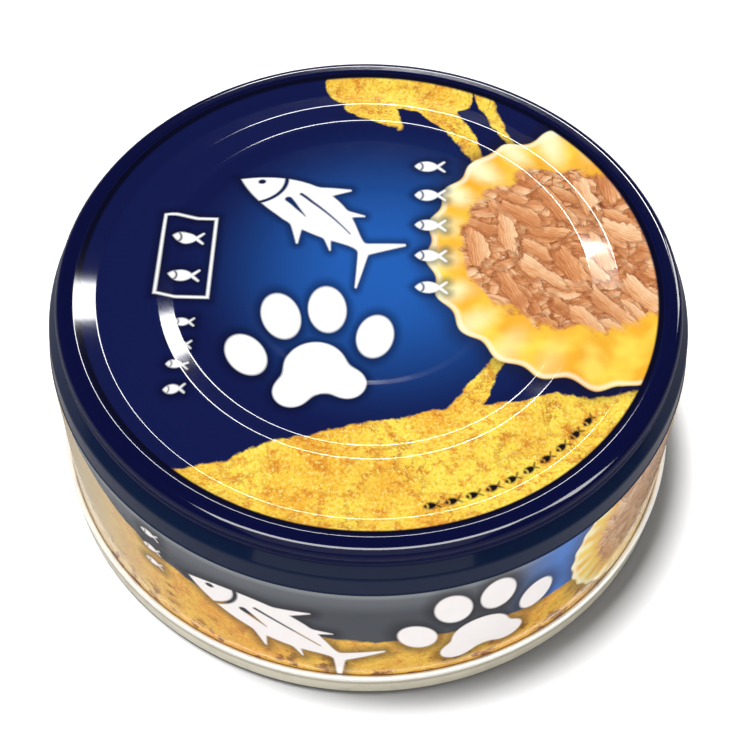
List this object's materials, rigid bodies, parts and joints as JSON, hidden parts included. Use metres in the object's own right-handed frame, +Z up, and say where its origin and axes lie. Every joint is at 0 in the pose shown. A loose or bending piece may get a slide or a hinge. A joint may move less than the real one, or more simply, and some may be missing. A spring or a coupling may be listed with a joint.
{
  "type": "cat food can",
  "caption": "Shut flat round can of cat food with a stepped printed end on top, a nesting shoulder under the rim and a seamed end as its foot.",
  "frame": {"origin": "middle of the foot of the seam, on the surface that the can stands on", "axes": "+Z up through the middle of the can; -Y towards the side that faces the viewer, +X to the viewer's right"},
  "size_m": [0.0764, 0.0764, 0.028],
  "materials": {
    "printed_sheet": "gloss varnish over a navy and gold print",
    "lacquered_sheet": "clear lacquer, warm silver"
  },
  "bodies": {
    "root": {"can_body": "printed_sheet", "can_end": "lacquered_sheet"}
  },
  "joints": []
}
